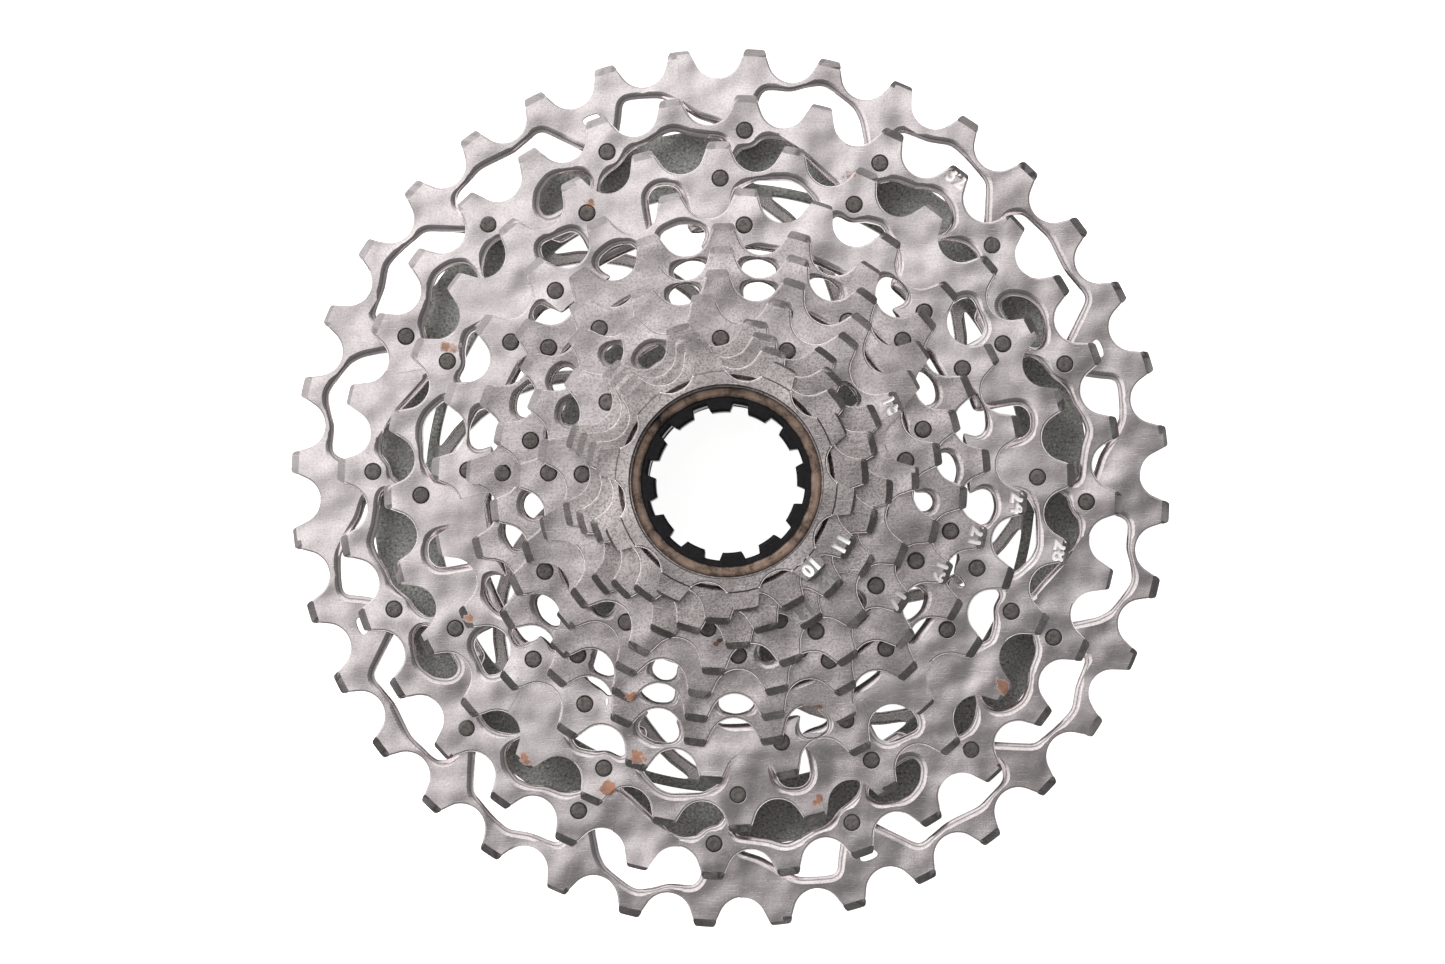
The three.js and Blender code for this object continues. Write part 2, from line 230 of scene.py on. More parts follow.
def outlines(field):
    """Closed loops along the field's zero line, with the metal on their left."""
    d, side = field.d, field.side
    count = len(side)
    inside = d < 0
    case = (inside[:-1, :-1] * 1 + inside[:-1, 1:] * 2 + inside[1:, 1:] * 4 + inside[1:, :-1] * 8)
    rows, columns = np.nonzero((case > 0) & (case < 15))
    flat = count * count

    def edge_id(j, i, edge):
        if edge == 0:
            return j * count + i
        if edge == 1:
            return flat + j * count + i + 1
        if edge == 2:
            return (j + 1) * count + i
        return flat + j * count + i

    onward = {}
    for j, i in zip(rows.tolist(), columns.tolist()):
        for start, end in EDGE_WALKS[int(case[j, i])]:
            onward[edge_id(j, i, start)] = edge_id(j, i, end)

    def crossing(edge):
        upright = edge >= flat
        j, i = divmod(edge - flat if upright else edge, count)
        other = (j + 1, i) if upright else (j, i + 1)
        t = d[j, i] / (d[j, i] - d[other])
        if upright:
            return side[i], side[j] + GRID * t
        return side[i] + GRID * t, side[j]

    loops = []
    while onward:
        start = next(iter(onward))
        loop, edge = [], start
        while edge in onward:
            loop.append(crossing(edge))
            edge = onward.pop(edge)
        if len(loop) > 8:
            loops.append(thin_out(np.array(loop)))
    return loops


def thin_out(points, slack=0.006, longest=1.2):
    """Drops points that lie on the line between their neighbours."""
    for _ in range(6):
        before, after = np.roll(points, 1, axis=0), np.roll(points, -1, axis=0)
        chord = after - before
        length = np.hypot(*chord.T) + 1e-9
        off = np.abs(chord[:, 0] * (points - before)[:, 1] - chord[:, 1] * (points - before)[:, 0])
        spare = (off / length < slack) & (length < longest)
        spare[1::2] = False
        if len(points) % 2:
            spare[-1] = False
        if not spare.any():
            break
        points = np.roll(points[~spare], 1, axis=0)
    return points


def new_piece(name, verts, faces, scale=MM):
    mesh = bpy.data.meshes.new(name)
    mesh.from_pydata([tuple(float(c) * scale for c in v) for v in verts], [], faces)
    mesh.validate()
    piece = bpy.data.objects.new(name, mesh)
    bpy.context.collection.objects.link(piece)
    return piece


def edge_room(field, points, inward, width):
    """How wide the rounded edge is along a loop: less at tight corners and on narrow metal."""
    before = points - np.roll(points, 1, axis=0)
    after = np.roll(points, -1, axis=0) - points
    gap = np.hypot(*after.T)
    turn = np.arctan2(before[:, 0] * after[:, 1] - before[:, 1] * after[:, 0],
                      np.sum(before * after, axis=1))
    reach = (gap + np.roll(gap, 1)) / 2
    room = np.where(turn > 1e-3, 0.6 * reach / np.maximum(turn, 1e-3), width)
    room = np.minimum(room, width)
    for share in (1.0, 0.8, 0.6, 0.4, 0.2):
        tried = share * width
        deep = field.depth_at(points + inward * (tried + 0.1)) > 0.6 * tried
        room = np.where(deep | (room <= tried * 0.8), room, tried * 0.8)
    taper = 0.35
    for _ in range(24):
        room = np.minimum(room, np.roll(room, -1) + taper * gap)
        room = np.minimum(room, np.roll(room, 1) + taper * np.roll(gap, 1))
    return np.maximum(room, 0.05)[:, None]


def is_closed(piece):
    work = bmesh.new()
    work.from_mesh(piece.data)
    closed = all(edge.is_manifold for edge in work.edges)
    work.free()
    return closed


def plate_piece(name, field, bottom, top, width_of, back=BACK_EDGE):
    """A plate with the field's outline and rounded edges, narrower if wide ones would cross."""
    loops = outlines(field)
    for narrower in NARROWER:
        widths = [width_of(np.max(np.ptp(loop, axis=0))) * narrower for loop in loops]
        piece = edged_plate(name, field, loops, bottom, top, widths, back * narrower)
        if is_closed(piece):
            return piece
        bpy.data.objects.remove(piece)
    raise RuntimeError(f"{name} is not closed")


def edged_plate(name, field, loops, bottom, top, widths, back):
    """Rings of points from the back face over both edges, one stack for each loop, and two caps."""
    verts, faces = [], []
    last = EDGE_STEPS + 2
    caps = {0: [], last: []}
    starts = {0: [], last: []}
    for points, width in zip(loops, widths):
        along = np.roll(points, -1, axis=0) - np.roll(points, 1, axis=0)
        along /= np.hypot(*along.T)[:, None] + 1e-9
        inward = np.stack([-along[:, 1], along[:, 0]], axis=1)
        room = edge_room(field, points, inward, width)
        drop = min(EDGE_DROP, width * 1.1)
        rings = [(back, bottom), (0, bottom + back)]
        for step in range(EDGE_STEPS + 1):
            turn = math.pi / 2 * step / EDGE_STEPS
            rings.append((room * (1 - math.cos(turn)), top - drop * (1 - math.sin(turn))))
        count = len(points)
        first = len(verts)
        for k, (inset, height) in enumerate(rings):
            moved = points + inward * inset
            verts.extend((x, y, height) for x, y in moved)
            if k in caps:
                caps[k].append([Vector((x, y, 0)) for x, y in moved])
                starts[k].append(first + k * count)
        for k in range(last):
            low, high = first + k * count, first + (k + 1) * count
            for i in range(count):
                j = (i + 1) % count
                faces.append((low + i, low + j, high + j, high + i))
    for k, cap in caps.items():
        index = [s + i for s, loop in zip(starts[k], cap) for i in range(len(loop))]
        faces.extend((index[a], index[b], index[c]) for a, b, c in tessellate_polygon(cap))
    piece = new_piece(name, verts, faces)
    settle(piece)
    return piece


def settle(piece):
    """Joins doubled points and turns every face outwards."""
    work = bmesh.new()
    work.from_mesh(piece.data)
    bmesh.ops.remove_doubles(work, verts=work.verts, dist=2e-6)
    bmesh.ops.recalc_face_normals(work, faces=work.faces)
    work.to_mesh(piece.data)
    work.free()


def turned_piece(name, profile, sides=96, centre=(0, 0), closed=False):
    """A turned solid from (radius, height) points, from axis to axis, or closed on itself."""
    verts, faces = [], []
    rings = []
    for radius, height in profile:
        if radius < 1e-6:
            rings.append([len(verts)])
            verts.append((centre[0], centre[1], height))
            continue
        rings.append(list(range(len(verts), len(verts) + sides)))
        for i in range(sides):
            x, y = polar(radius, 360.0 / sides * i)
            verts.append((centre[0] + x, centre[1] + y, height))
    pairs = list(zip(rings, rings[1:]))
    if closed:
        pairs.append((rings[-1], rings[0]))
    for low, high in pairs:
        for i in range(sides):
            j = (i + 1) % sides
            a, b = low[i % len(low)], low[j % len(low)]
            c, e = high[j % len(high)], high[i % len(high)]
            face = [a, b, c, e]
            kept = [v for n, v in enumerate(face) if v not in face[:n]]
            if len(kept) > 2:
                faces.append(tuple(kept))
    piece = new_piece(name, verts, faces)
    settle(piece)
    return piece


def joined_piece(pieces):
    """Several loose solids as one piece, for one cut."""
    whole = pieces[0]
    work = bmesh.new()
    for piece in pieces:
        work.from_mesh(piece.data)
    work.to_mesh(whole.data)
    work.free()
    for piece in pieces[1:]:
        bpy.data.objects.remove(piece)
    return whole


def carve(piece, tool, operation="DIFFERENCE"):
    """Cuts a tool out of a piece, or joins it on, and uses the tool up."""
    cut = piece.modifiers.new("cut", "BOOLEAN")
    cut.operation = operation
    cut.solver = "MANIFOLD"
    cut.object = tool
    graph = bpy.context.evaluated_depsgraph_get()
    mesh = bpy.data.meshes.new_from_object(piece.evaluated_get(graph))
    piece.modifiers.clear()
    piece.data = mesh
    bpy.data.objects.remove(tool)


# Cutters for the shift ramps, the chamfered tips and the stamped counts.

def tip_chamfer(teeth, tip_rise, top, width=1.3, depth=0.85):
    """A ring that slants the front of every tooth tip."""
    tip = pitch_radius(teeth) + tip_rise
    spill = 1.0
    slope = depth / width
    profile = [
        (tip - width - spill, top + spill * slope),
        (tip + spill, top - depth - spill * slope),
        (tip + spill, top + 2 * spill),
        (tip - width - spill, top + 2 * spill),
    ]
    return turned_piece("chamfer", profile, sides=teeth * 6, closed=True)


def pocket(teeth, points, top, depth):
    """A shallow flat recess; its points are (angle, offset from the pitch circle)."""
    radius = pitch_radius(teeth)
    outline = np.array([polar(radius + offset, angle) for angle, offset in points])
    area = 0.5 * np.sum(outline[:, 0] * np.roll(outline[:, 1], -1)
                        - np.roll(outline[:, 0], -1) * outline[:, 1])
    if area < 0:
        outline = outline[::-1]
    count = len(outline)
    clear = 2
    verts = [(x, y, z) for z in (top - depth, top + clear) for x, y in outline]
    faces = [tuple(range(count))[::-1], tuple(range(count, 2 * count))]
    faces += [(i, (i + 1) % count, count + (i + 1) % count, count + i) for i in range(count)]
    return new_piece("pocket", verts, faces)


def count_stamp(teeth, top, height=2.7, depth=0.34):
    """The tooth count as a solid with slanted sides, to press into a face."""
    text = bpy.data.curves.new("count", "FONT")
    text.body = str(teeth)
    text.size = height * MM * 1.35
    text.align_x = "CENTER"
    text.align_y = "CENTER"
    text.extrude = 0.4 * MM
    text.offset = 0.02 * MM
    text.bevel_depth = 0.16 * MM
    text.bevel_resolution = 0
    text.resolution_u = 3
    holder = bpy.data.objects.new("count", text)
    bpy.context.collection.objects.link(holder)
    graph = bpy.context.evaluated_depsgraph_get()
    mesh = bpy.data.meshes.new_from_object(holder.evaluated_get(graph))
    bpy.data.objects.remove(holder)
    angle, offset = STAMPS[teeth]
    x, y = polar(pitch_radius(teeth) + offset, angle)
    place = Matrix.Translation((x * MM, y * MM, (top - depth + 0.5) * MM))
    mesh.transform(place @ Matrix.Rotation(-math.radians(angle), 4, "Z"))
    stamp = bpy.data.objects.new("count", mesh)
    bpy.context.collection.objects.link(stamp)
    settle(stamp)
    mesh.materials.clear()
    for _ in range(2):
        mesh.materials.append(STAMPED_METAL)
    for face in mesh.polygons:
        face.material_index = 1
    return stamp


def press_count(piece, stamp):
    """Presses a count into a piece, whose second finish is the pressed metal's."""
    piece.data.materials.clear()
    for _ in range(2):
        piece.data.materials.append(STAMPED_METAL)
    carve(piece, stamp)


# The eight stamped cogs. Windows are (angle, offset from the pitch circle) outlines.

def eye(first, last, outer, inner, sag=0.6):
    """A rounded opening between two angles, in offsets from the pitch circle."""
    middle = (first + last) / 2
    quarter = (last - first) / 4
    return [(first, (outer + inner) / 2), (first + quarter * 0.5, outer - sag), (middle, outer),
            (last - quarter * 0.5, outer - sag), (last, (outer + inner) / 2),
            (last - quarter * 0.5, inner), (first + quarter * 0.5, inner)]


def turned_by(points, turn):
    return [(angle + turn, offset) for angle, offset in points]


def round_the_cog(shapes, turns):
    return [turned_by(points, turn) for turn in turns for points in shapes]


# Offsets that lie inside the plate's own ring, where a window runs out into the middle.
OPEN_36, OPEN_32, OPEN_28 = -19.0, -18.0, -17.0
TURNED_QUARTERS = [turn + 0.45 for turn in QUARTER_TURNS]
WINDOWS_36 = [
    [(4.3, OPEN_36), (4.3, -7.5), (5, -5.8), (9, -5.6), (11, -4.4), (13.2, -3.6), (15.5, -4.6),
     (18, -5.8), (19.5, -7.5), (22, -12), (22.5, OPEN_36)],
    [(26.2, OPEN_36), (25.5, -6.5), (30, -6), (33, -4.5), (36, -5), (40, -6), (44.5, -12),
     (45, OPEN_36)],
    [(49.2, OPEN_36), (48, -12), (45.8, -7.5), (47, -5.6), (52, -5), (57, -6), (62, -5), (67, -12),
     (67.5, OPEN_36)],
    [(67.2, -6.0), (71.3, -6.0), (69.6, -9.0)],
    [(72, OPEN_36), (72, -12), (73.8, -8), (74.5, -5.5), (77, -5.9), (80, -6.5), (82.5, -8.5),
     (85, -10.6), (88, -11.8), (89.4, -13), (89.6, OPEN_36)],
]
WINDOWS_32 = [
    [(1, OPEN_32), (0.5, -9.5), (1.5, -8.2), (3, -7.3), (4.5, -6.3), (7, -5.9), (9.5, -6.2),
     (10.5, -7.2), (12.3, -8), (14, -9), (17, -10.5), (19.5, -11.2), (20.5, OPEN_32)],
    [(26, OPEN_32), (25, -9.5), (26, -8), (28, -6.6), (31, -6.2), (33, -5), (35.5, -4.3),
     (38, -5.2), (39.7, -7), (39.8, -9), (37.5, -12), (34, OPEN_32)],
    [(38.5, OPEN_32), (40, -11), (41.5, -9.3), (44, -8), (46.5, -7.9), (47.8, -9), (53, -12.5),
     (57, OPEN_32)],
    [(59, -10.2), (56, -10.3), (55.2, -9.5), (55.3, -8), (57, -6), (59.5, -5), (62, -5.5),
     (64.5, -6.8), (65.5, -8), (64.4, -9.6), (62, -10)],
    [(65.7, OPEN_32), (66, -10.5), (67, -9), (70, -8), (73.5, -6), (76, -5.8), (79, -4.6),
     (80.8, -4.3), (83, -5.5), (86, -6.2), (88.5, -6.5), (89, -8), (86.3, -12), (84.5, OPEN_32)],
]
WINDOWS_28 = [
    [(0.8, OPEN_28), (1, -9), (1.5, -7), (4.5, -5.4), (8, -5), (10.5, -4.5), (13, -5), (16.5, -7),
     (17.5, -10), (18.5, OPEN_28)],
    [(22, OPEN_28), (20.6, -9.5), (21, -8), (25, -7.5), (30, -6.2), (34, -8.6), (37, -10.5),
     (39, OPEN_28)],
    [(50.3, -12), (50.5, -7), (51.5, -5.3), (55, -6), (58, -6.5), (59, -8), (58.6, -12)],
    [(72.5, OPEN_28), (73.6, -8), (74, -6), (76, -5), (79, -5.5), (80.2, -7), (80.5, OPEN_28)],
]

# Small openings, as the angles where they start and end.
EYES_24 = [(36, 44), (68, 79), (90.5, 99), (106.5, 114), (157, 164), (191, 201), (208, 217),
           (230, 237), (240, 249.6), (278, 288), (310, 321), (329, 339), (344, 355)]
EYES_21 = [(c - 5, c + 5) for c in (8, 26, 63.5, 86, 123, 178, 199, 215.6, 235, 257.5, 293, 350)]
EYES_19 = [(4, 14.6), (92, 98), (195, 203), (260, 268), (298, 307), (342, 352)]
EYES_17 = [(128, 137), (163, 170), (221, 231), (290, 300), (315, 323)]
EYES_15 = [(49, 59), (90, 96), (323, 336)]

# Each cog: the angle of its first gullet, its ring's inner radius, its own pins, the pins of the
# next smaller cog that it carries, and its windows.
COGS = [
    dict(teeth=36, first=3.3, inner=57.6, own=[], reach=PINS[32],
         windows=round_the_cog(WINDOWS_36, QUARTER_TURNS)),
    dict(teeth=32, first=2.45, inner=49.6, own=PINS[32], reach=PINS[28],
         windows=round_the_cog(WINDOWS_32, TURNED_QUARTERS)),
    dict(teeth=28, first=11.0, inner=42.6, own=PINS[28], reach=PINS[24],
         windows=round_the_cog(WINDOWS_28, TURNED_QUARTERS)),
    dict(teeth=24, first=3.4, inner=39.6, own=PINS[24], reach=PINS[21],
         windows=[eye(a, b, -4.3, -8.2) for a, b in EYES_24]),
    dict(teeth=21, first=16.0, inner=34.4, own=PINS[21], reach=PINS[19],
         windows=[eye(a, b, -4.6, -7.9) for a, b in EYES_21]),
    dict(teeth=19, first=17.35, inner=30.6, own=PINS[19], reach=PINS[17],
         windows=[eye(a, b, -4.4, -7.6) for a, b in EYES_19]),
    dict(teeth=17, first=18.3, inner=25.6, own=PINS[17], reach=PINS[15],
         windows=[eye(a, b, -4.4, -7.6) for a, b in EYES_17]),
    dict(teeth=15, first=16.3, inner=21.6, own=PINS[15], reach=PINS[13],
         windows=[eye(a, b, -4.4, -7.6) for a, b in EYES_15]),
]
# The four machined cogs, with the angle of each one's first gullet.
CLUSTER = [(13, 10.0), (12, 14.8), (11, 20.1), (10, 27.1)]

POCKET_DEPTH = 0.45
THIRDS, HALVES = (0, 120, 240), (0, 180)
# Shift ramps: flat recesses that run out over the teeth.
POCKETS = {
    36: round_the_cog([
        [(83, 3), (83, -5.2), (85.6, -6.2), (88.6, -6.6), (88.6, 3)],
        [(22.4, 3), (22.4, -3.2), (24.5, -5.2), (28, -5.6), (31, -3.4), (31.6, 3)]], QUARTER_TURNS),
    32: round_the_cog([
        [(6.5, 3), (7.6, -5.2), (13, -7.4), (19, -10.2), (20.5, -9.6), (18.5, -6), (17.6, 3)],
        [(45.6, 3), (46, -5), (50, -7.4), (54.3, -5), (55.2, 3)]], TURNED_QUARTERS),
    28: round_the_cog([
        [(27.5, 3), (29, -4.5), (34, -7), (38, -9.5), (46, -10), (44, -4), (41.6, 3)],
        [(62.4, 3), (63, -3), (65, -6), (69, -6.6), (73, -4), (73.4, 3)]], TURNED_QUARTERS),
    24: round_the_cog([
        [(9, 3), (9.6, -3.7), (19, -6), (28.4, -8), (27, -3), (25.4, 3)],
        [(51, 3), (51.6, -3), (55.5, -5.4), (59.6, -3), (60, 3)]], THIRDS),
    21: round_the_cog([[(30, 3), (30.6, -3.6), (38, -6), (43, -3), (43, 3)]], THIRDS),
    19: round_the_cog([[(44, 3), (45, -3.6), (52, -6), (61, -3), (62, 3)]], HALVES),
    17: round_the_cog([[(48, 3), (50, -3.6), (58, -6), (68, -3), (69, 3)]], HALVES),
    15: round_the_cog([[(66, 3), (68, -3.6), (78, -5.6), (86, -3), (87, 3)]], HALVES),
}
# Where each tooth count is stamped: angle, and offset from the pitch circle.
STAMPS = {
    32: (36.2, -0.6), 28: (101.0, -0.6), 24: (93.4, -0.6), 21: (101.7, -0.6), 19: (112.1, -0.6),
    17: (124.2, -0.6), 15: (64.3, -0.6), 13: (148.5, -2.1), 12: (134.8, -2.0), 11: (118.3, -1.5),
    10: (135.1, -1.2),
}


def stamped_cog(place, teeth, first, inner, own, reach, windows):
    radius = pitch_radius(teeth)
    field = Field(radius + FIELD_MARGIN)
    field.d = inner - field.r
    for points in windows:
        field.cut_polygon(np.array([polar(radius + offset, angle) for angle, offset in points]))
    for pin in own:
        field.add_disc(OWN_BOSS, pin)
    for pin in reach:
        field.add_disc(INNER_BOSS, pin)
    field.soften(SOFTEN)
    field.d = np.maximum(field.d, tooth_distance(field, teeth, first, TIP_RISE))
    for pin in own + reach:
        field.cut_disc(PIN_HOLE, pin)
    bottom = back_of(place)
    top = bottom + PLATE

    def width_of(span):
        if span > 2 * radius:
            return TOOTH_EDGE
        return HOLE_EDGE if span < 3 else WINDOW_EDGE

    cog = plate_piece(f"cog_plate_{teeth}", field, bottom, top, width_of)
    carve(cog, joined_piece([pocket(teeth, p, top, POCKET_DEPTH) for p in POCKETS[teeth]]))
    carve(cog, tip_chamfer(teeth, TIP_RISE, top))
    if teeth in STAMPS:
        press_count(cog, count_stamp(teeth, top))
    return cog


def finish_piece(piece, material, body, slot, *nodes, angle=32):
    """Gives a piece its finish, flat or smooth faces, its body and the nodes it replaces. The slot is not
    used.
    """
    mesh = piece.data
    if mesh.materials:
        mesh.materials[0] = material
    else:
        mesh.materials.append(material)
    mesh.shade_smooth()
    mesh.set_sharp_from_angle(angle=math.radians(angle))
    for face in mesh.polygons:
        face.use_smooth = abs(face.normal.z) < 0.999
    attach(piece, body)
    if nodes:
        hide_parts(*nodes)


# Pins: a flush head with a shallow dimple, a shoulder between the plates and a peened end.

def pin_profile(back, front, shoulder_low, shoulder_high, flush_back):
    head, body, shoulder = 1.27, 1.2, 1.9
    proud = 0.0 if flush_back else 0.2
    return [
        (0, back - proud), (0.85, back - proud), (1.15, back - proud * 0.4), (body, back + 0.15),
        (body, shoulder_low), (shoulder, shoulder_low + 0.05), (shoulder, shoulder_high - 0.05),
        (body, shoulder_high), (body, front - 0.4), (head, front - 0.25), (head, front - 0.04),
        (head - 0.06, front + 0.02), (head - 0.18, front + 0.05), (0.5, front + 0.02), (0, front),
    ]


def pin_row(teeth, place):
    """One cog's pins; the largest row goes on through the carrier and ends flush."""
    pins = []
    gap = 0.06
    front = back_of(place) + PLATE
    back = 0.0 if place == 1 else back_of(place - 1)
    low, high = back_of(place - 1) + PLATE + gap, back_of(place) - gap
    profile = pin_profile(back, front, low, high, place == 1)
    for number, pin in enumerate(PINS[teeth], 1):
        pins.append(turned_piece(f"rivet_{teeth}_{number:02d}", profile, 20, polar(*pin)))
    return pins


# The machined cluster of the four smallest cogs: four toothed discs, a hollow core and rear studs.

FACE_STEP = 0.4          # how far the smallest cog's teeth sit below its ring face


def face_step(top):
    """A cutter that lowers the smallest cog's teeth."""
    inner, outer, clear = 17.9, 24.0, 1.0
    profile = [(inner - 0.1, top + clear), (inner, top), (inner + 0.25, top - FACE_STEP),
               (outer, top - FACE_STEP), (outer, top + clear)]
    return turned_piece("step", profile, sides=120, closed=True)


def cluster_disc(place, teeth, first, bore):
    rim = 2 * pitch_radius(teeth)
    tooth_edge, hidden_edge = 0.34, 0.05
    field = Field(pitch_radius(teeth) + FIELD_MARGIN)
    field.d = np.maximum(bore - field.r, tooth_distance(field, teeth, first, SMALL_TIP_RISE))
    bottom = back_of(len(COGS)) + SPACING * place
    top = bottom + PLATE
    disc = plate_piece("disc", field, bottom, top,
                       lambda span: tooth_edge if span > rim else hidden_edge, hidden_edge)
    carve(disc, tip_chamfer(teeth, SMALL_TIP_RISE, top, 1.1, 0.62))
    if place == len(CLUSTER) - 1:
        carve(disc, face_step(top))
        top -= FACE_STEP
    press_count(disc, count_stamp(teeth, top, 2.3))
    return disc


def cluster_piece():
    back = back_of(len(COGS))
    bore, counterbore, back_bore, disc_bore = 14.6, 15.75, 17.0, 17.6
    shoulder_back = back + PLATE + 0.1
    seat = FRONT_FACE - 1.2 - 1.9 - 0.3
    discs = []
    for place, (teeth, first) in enumerate(CLUSTER):
        last = place == len(CLUSTER) - 1
        discs.append(cluster_disc(place, teeth, first, counterbore + 0.1 if last else disc_bore))
    profile = [(back_bore, back), (pitch_radius(13) - ROLLER - 1.2, back)]
    for place, (teeth, _) in enumerate(CLUSTER[1:]):
        valley = pitch_radius(teeth) - ROLLER - 0.35
        face = back + SPACING * place + PLATE
        profile += [(valley + 0.9, face - 0.3), (valley + 0.3, face + 0.15), (valley, face + 0.5),
                    (valley, face + SPACING - PLATE + 0.3)]
    ring = pitch_radius(10) - ROLLER - 0.3
    profile += [
        (ring, FRONT_FACE - PLATE + 0.3), (ring, FRONT_FACE - 0.2), (ring - 0.08, FRONT_FACE - 0.06),
        (ring - 0.25, FRONT_FACE), (counterbore + 0.3, FRONT_FACE),
        (counterbore + 0.1, FRONT_FACE - 0.06), (counterbore, FRONT_FACE - 0.2),
        (counterbore, seat), (bore, seat), (bore, shoulder_back), (back_bore, shoulder_back),
    ]
    core = turned_piece("core", profile, 144, closed=True)
    for _ in range(2):
        core.data.materials.append(STAMPED_METAL)
    stud_back, stud_front = back_of(len(COGS) - 1), back + 0.5
    stud = [(0, stud_back), (1.1, stud_back), (1.2, stud_back + 0.15), (1.2, stud_front),
            (0, stud_front)]
    studs = [turned_piece("stud", stud, 20, polar(*pin)) for pin in PINS[13]]
    for part in discs + studs:
        carve(core, part, "UNION")
    core.name = "small_cogs"
    return core


# The lock sleeve: flange, twelve tool notches, plain body with a snap ring groove, and its thread.

def sleeve_piece():
    low, high = in_mm("lock_sleeve")
    face, back = float(high[2]), float(low[2])
    ring_low, ring_high = (float(v[2]) for v in in_mm("sleeve_snap_ring"))
    outer, flange, groove = 14.3, 15.5, 13.5
    land, notch, bore = 11.5, 12.8, 12.9
    clear = 0.1
    notch_back = face - 8.2
    thread_top = notch_back - 2.5
    thread_step, thread_rise = 0.2, 0.32
    sides, step = 360, 30.0
    first_notch, half_notch, flank = 10.4, 6.4, 1.2
    angles = np.arange(sides) * 360.0 / sides
    offset = np.abs((angles - first_notch + step / 2) % step - step / 2)
    in_notch = np.clip((half_notch + flank / 2 - offset) / flank, 0, 1)
    spline = land + (notch - land) * in_notch

    def thread(height):
        turn = (height - angles / 360.0) % 1.0
        return bore + 0.1 + thread_rise * np.abs(2 * turn - 1)

    rings = [
        (outer - 0.3, back), (outer, back + 0.3),
        (outer, ring_low - clear), (groove, ring_low - clear),
        (groove, ring_high + clear), (outer, ring_high + clear),
        (outer, face - 1.9), (flange - 0.15, face - 1.9), (flange, face - 1.75),
        (flange, face - 0.35), (flange - 0.08, face - 0.16), (flange - 0.25, face - 0.04),
        (flange - 0.5, face), (flange - 1.2, face - 0.03), (flange - 1.5, face - 0.14),
        (flange - 1.65, face - 0.34), (flange - 1.8, face - 0.5),
        (spline + 0.45, face - 0.52), (spline + 0.2, face - 0.6), (spline, face - 0.85),
        (spline, notch_back + 0.2), (spline + 0.15, notch_back),
        (bore + 0.5, notch_back), (bore + 0.5, thread_top),
    ]
    for height in np.arange(thread_top - thread_step, back + 0.5, -thread_step).tolist():
        rings.append((thread(height), height))
    rings.append((bore + 0.5, back))
    verts, faces = [], []
    for radius, height in rings:
        for r, a in zip(np.broadcast_to(radius, angles.shape), angles):
            verts.append((*polar(r, a), height))
    count = len(rings)
    for k in range(count):
        m = (k + 1) % count
        for i in range(sides):
            j = (i + 1) % sides
            faces.append((k * sides + i, k * sides + j, m * sides + j, m * sides + i))
    piece = new_piece("sleeve", verts, faces)
    settle(piece)
    return piece


def snap_ring_piece():
    low, high = (float(v[2]) for v in in_mm("sleeve_snap_ring"))
    inner, outer, edge = 13.8, 15.5, 0.25
    sides, gap = 120, 9.0
    section = [(inner, low + edge), (inner + edge, low), (outer - edge, low), (outer, low + edge),
               (outer, high - edge), (outer - edge, high), (inner + edge, high), (inner, high - edge)]
    verts, faces = [], []
    for i in range(sides + 1):
        angle = gap / 2 + (360 - gap) * i / sides
        verts.extend((*polar(radius, angle), height) for radius, height in section)
    n = len(section)
    for i in range(sides):
        for k in range(n):
            m = (k + 1) % n
            faces.append((i * n + k, i * n + m, (i + 1) * n + m, (i + 1) * n + k))
    faces.append(tuple(range(n)))
    faces.append(tuple(sides * n + k for k in range(n))[::-1])
    piece = new_piece("snap_ring", verts, faces)
    settle(piece)
    return piece


# The rear carrier: annulus with a boss at every outer pin, swept spokes and a splined hub.

HUB_FOOT = 31.0          # radius of the flange that the hub stands on
SPOKES, SPOKE_WIDTH, SPOKE_FIRST, SPOKE_SWEEP = 8, 2.2, -1.3, 52.0
SLOT = [(51.3, a) for a in range(4, 23, 2)] + [(52.9, a) for a in range(21, 4, -2)]


def spoke_path(first):
    """Points along one spoke's middle line, which slants off the ring and turns in to the hub."""
    outer_end, inner_end = 51.1, 19.5
    return [(outer_end + (inner_end - outer_end) * t * (0.45 + 0.55 * t), first + SPOKE_SWEEP * t)
            for t in np.linspace(0, 1, 13)]


def carrier_piece():
    inner, outer, boss, edge = 49.6, 60.3, 3.1, 0.35
    hub_outer, plate_bore, spline_inner, spline_outer = 21.0, 18.5, 16.2, 17.3
    hub_length = float(in_mm("rear_carrier")[1][2])
    field = Field(66)
    field.d = np.maximum(inner - field.r, field.r - outer)
    for pin in PINS[32]:
        field.add_disc(boss, pin)
    for first in every(SPOKES, SPOKE_FIRST):
        path = spoke_path(first)
        for a, b in zip(path, path[1:]):
            field.add_bar(a, b, SPOKE_WIDTH)
    field.add_disc(HUB_FOOT, (0, 0))
    for turn in QUARTER_TURNS:
        field.cut_polygon(np.array([polar(radius, turn + a) for radius, a in SLOT]))
    field.soften(0.3)
    field.d = np.maximum(field.d, plate_bore - field.r)
    for pin in PINS[32]:
        field.cut_disc(PIN_HOLE, pin)
    plate = plate_piece("carrier_plate", field, 0.0, CARRIER_TOP,
                        lambda span: edge if span > 100 else 0.85, edge)
    hub = Field(hub_outer + 2)
    hub.d = hub.r - hub_outer + 0.05
    step = 30.0
    tooth = np.abs((hub.angle + step / 2) % step - step / 2)
    half = np.clip((tooth - 7.5) / 0.8 + 0.5, 0, 1)
    hub.d = np.maximum(hub.d, spline_outer + (spline_inner - spline_outer) * half - hub.r)
    tube = plate_piece("hub", hub, 0.0, hub_length, lambda span: 0.5, edge)
    carve(plate, tube, "UNION")
    plate.name = "carrier"
    return plate


# Materials.

